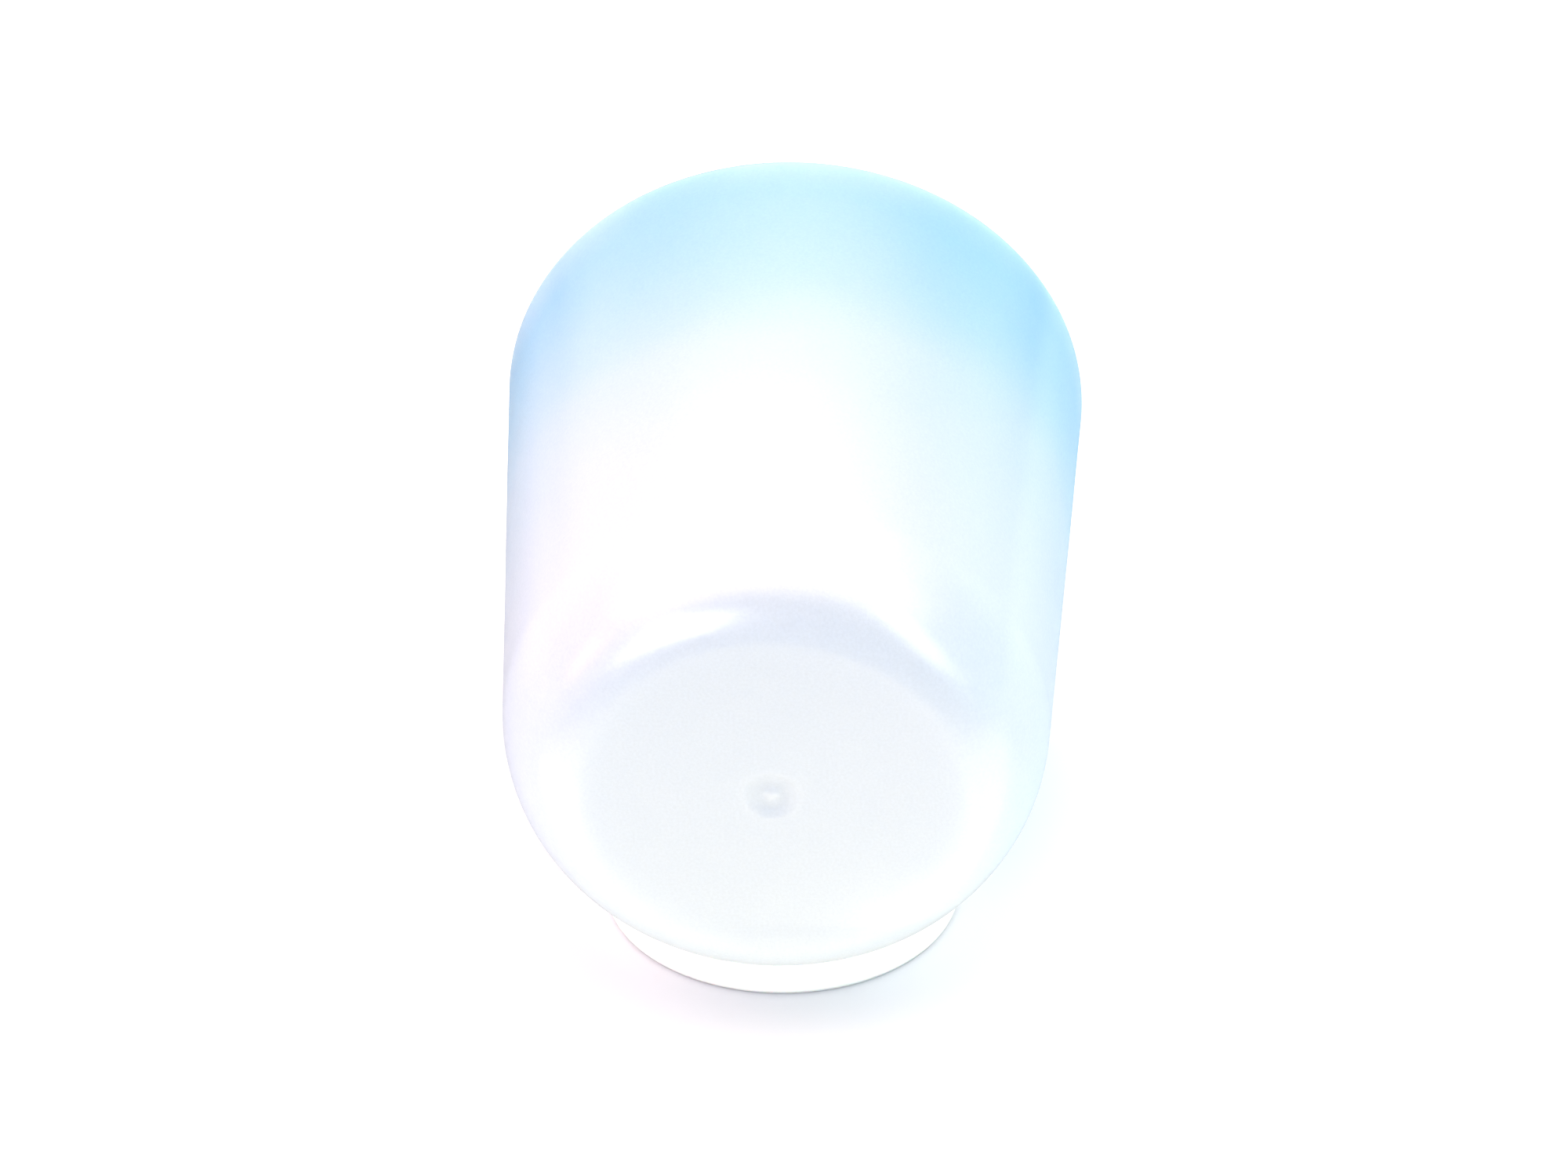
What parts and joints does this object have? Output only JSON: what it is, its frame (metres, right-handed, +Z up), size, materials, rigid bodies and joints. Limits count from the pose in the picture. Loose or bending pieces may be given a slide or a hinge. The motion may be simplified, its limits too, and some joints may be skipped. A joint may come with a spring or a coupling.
{
  "type": "guitar slide",
  "caption": "Short frosted glass guitar slide with a closed, rounded end, a finger bore and a blue fade at the open mouth, lying on its side on a low white rest ring.",
  "frame": {"origin": "middle of the part's footprint, on the table the ring lies on", "axes": "+Z up; -Y the way the closed end faces; +Y the way the open mouth faces; the slide lies on its side along Y"},
  "size_m": [0.029, 0.0338, 0.0319],
  "materials": {
    "frosted_glass": "satin frosted glass, white at the closed end, tinted light blue over the half nearest the open mouth",
    "white_rubber": "soft off-white silicone rubber, satin"
  },
  "bodies": {
    "ring": {"rest_ring": "white_rubber"},
    "slide": {"slide_body": "frosted_glass"}
  },
  "joints": [
    {"name": "lift_off", "type": "slide", "parent": "ring", "child": "slide", "axis": [0, 0, 1], "range_m": [0, 0.04]}
  ]
}
